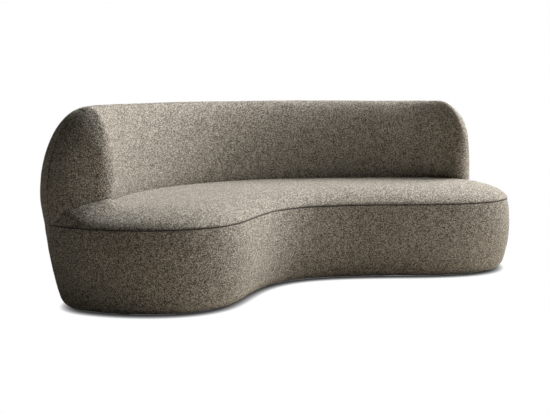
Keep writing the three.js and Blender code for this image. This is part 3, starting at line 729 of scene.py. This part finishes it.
def add_front_band(material):
    start, end = LEFT_SEAM_SHARE - 1, RIGHT_SEAM_SHARE
    share = steps_between(start, end, (end - start) * outline.length)
    heights = steps_between(HEM_HEIGHT, SEAM_HEIGHT, SEAM_HEIGHT - HEM_HEIGHT, sewn_start=False)
    share, z = grid(share, heights)
    outer = lower_points(share, z)
    inner = lower_points(share, z, PAD_DEPTH)
    faces = grid_faces(grid_ids(outer))
    distance = panel_distance(outer)
    pad = make_pad("front_band_upholstery", outer, inner, faces, distance, material, seed=3)
    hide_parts("front_band_cover", "band_padding")


# The whole back as one closed body, a little proud: it cuts the seat to fit
def back_envelope():
    stations, away = back_stations()
    rows = back_rows()
    share, row = grid(stations, rows)
    away = np.broadcast_to(away[:, None], share.shape)
    ids = back_ids(len(stations), rows)
    points = relax_tips(back_points(share, away, row, -CUTTER_PROUD), ids, share, away)
    foot = points[:, [0, -1]].copy()
    foot[..., 2] = TUCK_HEIGHT - CUTTER_DROP
    foot_ids = points.shape[0] * points.shape[1] + grid_ids(foot)
    foot_ids[[0, -1], 1] = foot_ids[[0, -1], 0]
    faces = grid_faces(ids)
    faces += grid_faces(np.stack([foot_ids[:, 0], ids[:, 0]], 1))
    faces += grid_faces(np.stack([ids[:, -1], foot_ids[:, 1]], 1))
    faces += grid_faces(np.stack([foot_ids[:, 1], foot_ids[:, 0]], 1))
    faces, points = compact(faces, np.concatenate([points.reshape(-1, 3), foot.reshape(-1, 3)]))
    mesh = bpy.data.meshes.new("back_envelope")
    mesh.from_pydata(points.tolist(), [], faces)
    cutter = bpy.data.objects.new("back_envelope", mesh)
    bpy.context.scene.collection.objects.link(cutter)
    return cutter


# Cuts a piece with a closed body and removes that body
def cut_away(piece, cutter):
    cut = piece.modifiers.new("cut", "BOOLEAN")
    cut.operation = "DIFFERENCE"
    cut.solver = "MANIFOLD"
    cut.object = cutter
    bpy.context.view_layer.update()
    shaped = bpy.data.meshes.new_from_object(piece.evaluated_get(bpy.context.evaluated_depsgraph_get()))
    piece.modifiers.clear()
    piece.data = shaped
    bpy.data.objects.remove(cutter)


def level(xy):
    return np.c_[xy, np.zeros(len(xy))]


# Search tree over points, numbered in their order
def tree_of(points):
    tree = kdtree.KDTree(len(points))
    for k, point in enumerate(points.tolist()):
        tree.insert(point, k)
    tree.balance()
    return tree


# Whether points lie inside a closed ring, by counting crossings
def points_inside(points, ring):
    inside = np.zeros(len(points), bool)
    for a, b in zip(ring, np.roll(ring, -1, axis=0)):
        crosses = (a[1] > points[:, 1]) != (b[1] > points[:, 1])
        if a[1] != b[1]:
            at = (b[0] - a[0]) * (points[:, 1] - a[1]) / (b[1] - a[1]) + a[0]
            inside ^= crosses & (points[:, 0] < at)
    return inside


# Triangles that fill a closed ring in plan, with points at an even step inside it. The last list tells which
# points of the input each point comes from.
def fill_flat(ring, step):
    points = [Vector(p) for p in ring.tolist()]
    edges = [(k, (k + 1) % len(points)) for k in range(len(points))]
    low, high = ring.min(0), ring.max(0)
    lattice = np.stack(grid(np.arange(low[0], high[0], step), np.arange(low[1], high[1], step)), -1)
    lattice[::2, :, 1] += step / 2
    lattice = lattice.reshape(-1, 2)
    tree = tree_of(level(ring))
    for point in level(lattice[points_inside(lattice, ring)]).tolist():
        if tree.find(point)[2] > step * FILL_CLEARANCE:
            points.append(Vector(point[:2]))
    outer_face = [list(range(len(edges)))]
    filled = delaunay_2d_cdt(points, edges, outer_face, FILL_INSIDE_ONLY, FILL_MERGE)
    verts, _, faces, origin, _, _ = filled
    return np.array([(v.x, v.y) for v in verts]), [tuple(face) for face in faces], origin


# How far the seat's edge is drawn in under the back
def seat_pull(share):
    start = np.mod(share - RIGHT_END_SHARE, 1) / (LEFT_END_SHARE - RIGHT_END_SHARE)
    return np.where(start > 1, 0, HIDDEN_PULL * smooth(np.minimum(start, 1 - start) / HIDDEN_PULL_SHARE))


def crown_rise(run):
    near = 1 - clamp(run / CROWN_RUN)
    return SEAT_CROWN * (1 - near ** 2) ** CROWN_EASE


# Round the whole outline, two points of the seat's side and the rings of its crown, and their distance from
# the seam
def seat_columns():
    length = outline.length
    start, end = LEFT_END_SHARE - 1, RIGHT_END_SHARE
    front = np.linspace(start, end, round((end - start) * length / STEP) + 1)
    rear = np.linspace(end, start + 1, round((start + 1 - end) * length / STEP) + 1)[1:-1]
    share = np.r_[front, rear]
    edge = SEAM_INSET + seat_pull(share)
    runs = CROWN_RUN * (1 - np.cos(np.linspace(0, math.pi / 2, CROWN_RINGS)))
    runs = np.unique(np.r_[0, np.array(SEAM_STEPS) * CROWN_SEAM_SHARE, runs[2:]])
    ring_share, run = grid(share, runs)
    rings = with_height(place(ring_share, edge[:, None] + run), SEAT_EDGE_HEIGHT + crown_rise(run))
    side_xy = place(share, edge + (PAD_DEPTH + SEAM_GAP))
    side = [with_height(side_xy, np.full(len(share), z)) for z in (FOAM_BOTTOM, SEAM_HEIGHT)]
    distance = np.concatenate([np.full((len(share), 2), SEAM_FREE), run_from(rings, 1, 0)], 1)
    return np.concatenate([np.stack(side, 1), rings], 1), distance


# Seat before the back is cut out of it: side and crown, the level middle of its top, and its underside
def seat_body():
    columns, distance = seat_columns()
    count, rows = columns.shape[:2]
    ids = grid_ids(columns)
    faces = grid_faces(np.concatenate([ids, ids[:1]], 0))
    fill_xy, fill_faces, origin = fill_flat(columns[:, -1, :2], STEP)
    number = []
    extra = []
    for k, source in enumerate(origin):
        known = [s for s in source if s < count]
        if known:
            number.append(int(ids[known[0], -1]))
        else:
            number.append(count * rows + len(extra))
            extra.append((*fill_xy[k], SEAT_EDGE_HEIGHT + SEAT_CROWN))
    faces += [tuple(number[v] for v in face) for face in fill_faces]
    faces.append(tuple(reversed(ids[:, 0].tolist())))
    points = np.concatenate([columns.reshape(-1, 3), np.array(extra)])
    return points, faces, np.r_[distance.reshape(-1), np.full(len(extra), SEAM_FREE)]


# Height by which the seat's cloth is drawn up at the foot of the left arm
def foot_rise(points, from_seam):
    stations, away = back_stations()
    ends = stations > LEFT_END_SHARE
    share, row = grid(stations[ends], np.linspace(0, LAST_ROW, LAST_ROW * FOOT_POINTS_PER_ROW + 1))
    away = np.broadcast_to(away[ends][:, None], share.shape)
    surface = back_points(share, away, row).reshape(-1, 3)
    inside_weight = smooth((away - END_RUN + FOOT_FADE) / FOOT_FADE)
    weight = np.where(row < CREST_ROW, 1, inside_weight).reshape(-1)
    low = surface[:, 2] < SEAM_HEIGHT + SEAT_CROWN + FOOT_RUN
    tree, weight = tree_of(surface[low]), weight[low]
    rise = np.zeros(len(points))
    for k, point in enumerate(points.tolist()):
        _, near, distance = tree.find(point)
        if distance < FOOT_RUN:
            rise[k] = FOOT_RISE * weight[near] * (1 - distance / FOOT_RUN) ** 2
    return rise * smooth(from_seam / FOOT_START)


def add_seat(material):
    points, faces, distance = seat_body()
    top = points[:, 2] > SEAM_HEIGHT
    rise = np.where(top, lumps(points, seed=4) - seam_roll(distance), 0)
    points = points + normals_of(points, faces) * rise[:, None]
    points[:, 2] += np.where(top, foot_rise(points, distance), 0)
    seat = new_object("seat_upholstery", points, faces, material, distance)
    cut_away(seat, back_envelope())
    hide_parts("seat_cover", "seat_foam")


def add_under_cloth(material):
    share = np.linspace(0, 1, round(outline.length / UNDER_STEP), endpoint=False)
    ring = place(share, lower_inset(share, np.full(share.shape, UNDER_HEIGHT)) + UNDER_INSET)
    xy, faces, _ = fill_flat(ring, UNDER_STEP)
    places = level(xy).tolist()
    tree = tree_of(level(ring))
    edge = np.array([tree.find(point)[2] for point in places])
    slack = smooth((edge - SLACK_FROM) / SLACK_RUN)
    waves = np.zeros(len(xy))
    for size, depth in SLACK_WAVES:
        waves += [depth * noise.noise(Vector(point) / size) for point in places]
    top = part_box("dust_cover")[1][2] - slack * (SLACK_DEPTH + waves)
    turned = TURN_IN_DEPTH * smooth((TURN_IN - edge) / TURN_IN * TURN_IN_SLOPE)
    points = np.concatenate([np.c_[xy, top], np.c_[xy, top - UNDER_THICKNESS - turned]])
    cloth = new_object("under_cloth", points, closed_faces(faces, len(xy)), material)
    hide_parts("dust_cover")
    following = np.roll(ring, -1, axis=0)
    area = abs((ring[:, 0] * following[:, 1] - following[:, 0] * ring[:, 1]).sum()) / 2
    area += TURN_IN * np.linalg.norm(following - ring, axis=1).sum()


# Node with its settings and inputs given by name
def add_node(tree, kind, **values):
    node = tree.nodes.new(kind)
    for key, value in values.items():
        if hasattr(node, key):
            setattr(node, key, value)
        else:
            node.inputs[key.replace("_", " ")].default_value = value
    return node


def new_material(name, **values):
    material = bpy.data.materials.new(name)
    material.use_nodes = True
    tree = material.node_tree
    shader = tree.nodes["Principled BSDF"]
    for key, value in values.items():
        shader.inputs[key.replace("_", " ")].default_value = value
    return material, tree, shader


# Math node over its inputs, each a socket or a number
def math_node(tree, operation, *inputs):
    node = add_node(tree, "ShaderNodeMath", operation=operation)
    for socket, value in zip(node.inputs, inputs):
        if isinstance(value, (int, float)):
            socket.default_value = value
        else:
            tree.links.new(value, socket)
    return node.outputs[0]


# Vector math node over its inputs, each a socket, a number or a vector
def vector_node(tree, operation, *inputs):
    node = add_node(tree, "ShaderNodeVectorMath", operation=operation)
    sockets = [node.inputs[0], node.inputs["Scale"] if operation == "SCALE" else node.inputs[1]]
    for socket, value in zip(sockets, inputs):
        if isinstance(value, (int, float, tuple)):
            socket.default_value = value
        else:
            tree.links.new(value, socket)
    return node.outputs["Value" if operation == "DOT_PRODUCT" else "Vector"]


def noise_node(tree, vector, scale, detail, output="Fac"):
    node = add_node(tree, "ShaderNodeTexNoise", Scale=scale, Detail=detail)
    tree.links.new(vector, node.inputs["Vector"])
    return node.outputs[output]


def position_of(tree):
    return tree.nodes.new("ShaderNodeNewGeometry").outputs["Position"]


def add_bump(tree, shader, height, depth, strength=1.0):
    bump = add_node(tree, "ShaderNodeBump", Strength=strength, Distance=depth)
    tree.links.new(height, bump.inputs["Height"])
    tree.links.new(bump.outputs["Normal"], shader.inputs["Normal"])


# Base colour as a colour times a tone
def set_color(tree, shader, color, tone):
    tree.links.new(vector_node(tree, "SCALE", color, tone), shader.inputs["Base Color"])


# One cell for each loop, at wandering places
def loop_cells(tree, where):
    wander = noise_node(tree, where, LOOPS_PER_METRE / 2, detail=1.0, output="Color")
    wander = vector_node(tree, "SUBTRACT", wander, (0.5, 0.5, 0.5))
    moved = vector_node(tree, "ADD", where, vector_node(tree, "SCALE", wander, LOOP_WANDER))
    loops = add_node(tree, "ShaderNodeTexVoronoi", Scale=LOOPS_PER_METRE)
    tree.links.new(moved, loops.inputs["Vector"])
    return loops


# Tone of the looped cloth: each loop's own, the clouds, and the shade painted into the seams
def loop_tone(tree, where, loops):
    apart = tree.nodes.new("ShaderNodeSeparateColor")
    tree.links.new(loops.outputs["Color"], apart.inputs[0])
    own = math_node(tree, "MULTIPLY", apart.outputs[0], apart.outputs[1])
    clouds = noise_node(tree, where, CLOUDS_PER_METRE, detail=2.0)
    cloud = math_node(tree, "MULTIPLY_ADD", clouds, CLOUD_TONE, LEAST_TONE)
    tone = math_node(tree, "MULTIPLY_ADD", own, LOOP_TONE, cloud)
    tone = math_node(tree, "MINIMUM", tone, MOST_TONE)
    # Painted shade: the cloth's colour is darkened along the seams, where the fold would shade it
    seam = add_node(tree, "ShaderNodeAttribute", attribute_name="seam")
    after_painted_seam_shade = math_node(tree, "MULTIPLY_ADD", seam.outputs["Fac"], -SEAM_PAINTED_SHADE, 1.0)
    return math_node(tree, "MULTIPLY", tone, after_painted_seam_shade)


def boucle_material():
    material, tree, shader = new_material(
        "boucle", Roughness=0.95, Specular_IOR_Level=0.15, Sheen_Weight=0.08, Sheen_Roughness=0.6)
    where = position_of(tree)
    loops = loop_cells(tree, where)
    fibres = noise_node(tree, where, FIBRES_PER_METRE, detail=3.0)
    knobs = math_node(tree, "SUBTRACT", 1.0, loops.outputs["Distance"])
    knobs = math_node(tree, "MULTIPLY", knobs, LOOP_SHARE)
    height = math_node(tree, "MULTIPLY_ADD", fibres, FIBRE_SHARE, knobs)
    add_bump(tree, shader, height, LOOP_DEPTH)
    # Painted shade: the colour darkens from the loops' tops down into the pits between them, where shade would
    # fall
    ramp = tree.nodes.new("ShaderNodeValToRGB")
    low, high = ramp.color_ramp.elements
    low.position, low.color = PIT_LEVEL, PIT_PAINTED_SHADE_COLOR
    high.position, high.color = LOOP_LEVEL, LOOP_COLOR
    tree.links.new(height, ramp.inputs["Fac"])
    set_color(tree, shader, ramp.outputs["Color"], loop_tone(tree, where, loops))
    return material


# Unit vectors of a piece: along its longest side, across, and square to its largest faces
def own_axes(piece):
    faces, verts = piece.data.polygons, piece.data.vertices
    area, normal = np.empty(len(faces)), np.empty(len(faces) * 3)
    points = np.empty(len(verts) * 3)
    faces.foreach_get("area", area)
    faces.foreach_get("normal", normal)
    verts.foreach_get("co", points)
    normal = normal.reshape(-1, 3)
    flat = np.linalg.eigh((normal * area[:, None]).T @ normal)[1][:, -1]
    points = points.reshape(-1, 3) - points.reshape(-1, 3).mean(0)
    points -= np.outer(points @ flat, flat)
    long = np.linalg.eigh(points.T @ points)[1][:, -1]
    return long, np.cross(flat, long), flat


# Coordinates along a piece's own axes, each with its scale
def own_place(tree, axes, scales):
    where = position_of(tree)
    joined = tree.nodes.new("ShaderNodeCombineXYZ")
    for socket, axis, scale in zip(joined.inputs, axes, scales):
        tree.links.new(vector_node(tree, "DOT_PRODUCT", where, tuple((axis * scale).tolist())), socket)
    return joined.outputs[0]


# One on every second ply, where the surface cuts through the plies, and else zero
def ply_mask(tree, flat):
    facing = tree.nodes.new("ShaderNodeNewGeometry").outputs["True Normal"]
    facing = math_node(tree, "ABSOLUTE", vector_node(tree, "DOT_PRODUCT", facing, flat))
    layer = vector_node(tree, "DOT_PRODUCT", position_of(tree), flat)
    layer = math_node(tree, "FRACT", math_node(tree, "MULTIPLY", layer, 1 / (2 * PLY)))
    dark = math_node(tree, "GREATER_THAN", layer, 0.5)
    return math_node(tree, "MULTIPLY", dark, math_node(tree, "LESS_THAN", facing, 0.5))


def wood_material(name, color, axes, plies):
    material, tree, shader = new_material(name, Roughness=0.62)
    grain = noise_node(tree, own_place(tree, axes, GRAIN_SCALES), 1.0, detail=5.0)
    pore_scales = [PORE_FINENESS * scale for scale in GRAIN_SCALES]
    pores = noise_node(tree, own_place(tree, axes, pore_scales), 1.0, detail=2.0)
    grain_tone = math_node(tree, "MULTIPLY", grain, GRAIN_TONE)
    pore_tone = math_node(tree, "MULTIPLY", pores, PORE_TONE)
    tone = math_node(tree, "ADD", math_node(tree, "ADD", grain_tone, pore_tone), LEAST_WOOD_TONE)
    if plies:
        dark = math_node(tree, "MULTIPLY", ply_mask(tree, tuple(axes[2].tolist())), PLY_DARKNESS)
        tone = math_node(tree, "SUBTRACT", tone, dark)
    set_color(tree, shader, tuple(color), tone)
    add_bump(tree, shader, grain, GRAIN_DEPTH, GRAIN_STRENGTH)
    return material


# Fine noise in colour and relief, for moulded, pressed and non-woven stuffs
def speckled_material(name, color, scale, depth, roughness, contrast):
    material, tree, shader = new_material(name, Roughness=roughness)
    where = position_of(tree)
    specks = noise_node(tree, where, scale, detail=4.0)
    broad = noise_node(tree, where, scale / BROAD_COARSENESS, detail=2.0)
    mixed = math_node(tree, "ADD", specks, math_node(tree, "MULTIPLY", broad, BROAD_SHARE))
    off_middle = math_node(tree, "SUBTRACT", mixed, MIDDLE_SPECK)
    set_color(tree, shader, tuple(color), math_node(tree, "MULTIPLY_ADD", off_middle, contrast, 1.0))
    add_bump(tree, shader, specks, depth)
    return material


# Crossing yarns as two waves, with light and shade painted into the colour along the waves
def woven_material(name, color):
    material, tree, shader = new_material(name, Roughness=0.85)
    apart = tree.nodes.new("ShaderNodeSeparateXYZ")
    tree.links.new(position_of(tree), apart.inputs[0])
    turns = [math_node(tree, "MULTIPLY", apart.outputs[k], 2 * math.pi / YARN) for k in (0, 1)]
    weave = math_node(tree, "MULTIPLY", *[math_node(tree, "SINE", turn) for turn in turns])
    # Painted light and shade: the yarns' crests are lighter and their hollows darker, following the waves of
    # the relief
    set_color(tree, shader, tuple(color), math_node(tree, "MULTIPLY_ADD", weave, YARN_PAINTED_LIGHT_AND_SHADE, STRAP_TONE))
    add_bump(tree, shader, weave, YARN_DEPTH)
    return material


def frame_material(slot, color, piece):
    if slot in ("plywood", "pine"):
        return wood_material(piece.name + "_" + slot, color, own_axes(piece), slot == "plywood")
    if slot == "webbing":
        return woven_material(slot, color)
    return speckled_material(slot, color, *SPECKLED[slot])


# Gives each of the frame's pieces its material, a wooden piece one of its own, and returns the shared ones
def dress_frame():
    colors = {m["slot"]: m["base_color"] for m in frame["record"]["materials"]}
    shared = {}
    for part in frame["record"]["subparts"]:
        slot = part["material_slot"]
        piece = frame["nodes"][part["node"]]
        material = shared.get(slot) or frame_material(slot, colors[slot], piece)
        if slot not in ("plywood", "pine"):
            shared[slot] = material
        piece.data.materials.clear()
        piece.data.materials.append(material)
    return shared


def add_camera():
    data = bpy.data.cameras.new("camera")
    data.lens = FOCAL_PIXELS / PHOTO_WIDTH_PIXELS * SENSOR_WIDTH_MM
    data.sensor_width = SENSOR_WIDTH_MM
    camera = bpy.data.objects.new("camera", data)
    camera.location = CAMERA_PLACE
    pitch = math.atan(FALL_PIXELS / FOCAL_PIXELS)
    camera.rotation_euler = Euler((math.pi / 2 - pitch, 0, CAMERA_TURN))
    bpy.context.scene.collection.objects.link(camera)
    bpy.context.scene.camera = camera


def add_lamp(name, bearing, height, power):
    data = bpy.data.lights.new(name, "AREA")
    data.shape = "DISK"
    data.size = LAMP_SIZE
    data.energy = power
    lamp = bpy.data.objects.new(name, data)
    turn = CAMERA_TURN - math.pi / 2 + math.radians(bearing)
    rise = math.radians(height)
    away = Vector((math.cos(turn) * math.cos(rise), math.sin(turn) * math.cos(rise), math.sin(rise)))
    lamp.location = Vector(LAMP_TARGET) + away * LAMP_DISTANCE
    lamp.rotation_mode = "QUATERNION"
    lamp.rotation_quaternion = (-away).to_track_quat("-Z", "Y")
    bpy.context.scene.collection.objects.link(lamp)


# Shows one shader to camera, glossy and transmission rays, and lights the scene with the other
def show_apart(tree, lit, shown, output):
    path = tree.nodes.new("ShaderNodeLightPath")
    seen = math_node(tree, "MAXIMUM", path.outputs["Is Camera Ray"], path.outputs["Is Glossy Ray"])
    seen = math_node(tree, "MAXIMUM", seen, path.outputs["Is Transmission Ray"])
    chosen = tree.nodes.new("ShaderNodeMixShader")
    for socket, value in zip(chosen.inputs, (seen, lit.outputs[0], shown.outputs[0])):
        tree.links.new(value, socket)
    out = tree.nodes.new(output)
    tree.links.new(chosen.outputs[0], out.inputs["Surface"])


def add_world():
    world = bpy.data.worlds.new("world")
    bpy.context.scene.world = world
    world.use_nodes = True
    tree = world.node_tree
    tree.nodes.clear()
    dim = add_node(tree, "ShaderNodeBackground", Color=WORLD_COLOR, Strength=WORLD_STRENGTH)
    white = add_node(tree, "ShaderNodeBackground", Color=WHITE, Strength=1.0)
    show_apart(tree, dim, white, "ShaderNodeOutputWorld")


# White to the camera, with a shadow painted close under the piece from ambient occlusion
def floor_material():
    material = bpy.data.materials.new("floor")
    material.use_nodes = True
    tree = material.node_tree
    tree.nodes.clear()
    lit = add_node(tree, "ShaderNodeBsdfDiffuse", Color=FLOOR_COLOR)
    shade = add_node(tree, "ShaderNodeAmbientOcclusion", Distance=FLOOR_SHADE_REACH)
    shade.samples = FLOOR_SHADE_SAMPLES
    glow = tree.nodes.new("ShaderNodeEmission")
    # Painted shadow: the floor's white is darkened by ambient occlusion close under the piece
    tree.links.new(math_node(tree, "POWER", shade.outputs["AO"], FLOOR_SHADE_POWER), glow.inputs["Strength"])
    show_apart(tree, lit, glow, "ShaderNodeOutputMaterial")
    return material


def add_floor():
    half = FLOOR_SIZE / 2
    corners = [(-half, -half, 0), (half, -half, 0), (half, half, 0), (-half, half, 0)]
    mesh = bpy.data.meshes.new("floor")
    mesh.from_pydata(corners, [], [(0, 1, 2, 3)])
    mesh.materials.append(floor_material())
    floor = bpy.data.objects.new("floor", mesh)
    bpy.context.scene.collection.objects.link(floor)


bpy.context.scene.view_settings.view_transform = "Standard"
boucle = boucle_material()
stuffs = dress_frame()
add_inside_back(boucle)
add_outside_back(boucle)
add_front_band(boucle)
add_seat(boucle)
add_under_cloth(stuffs["underside"])
add_camera()
add_floor()
add_world()
for lamp_values in LAMPS:
    add_lamp(*lamp_values)
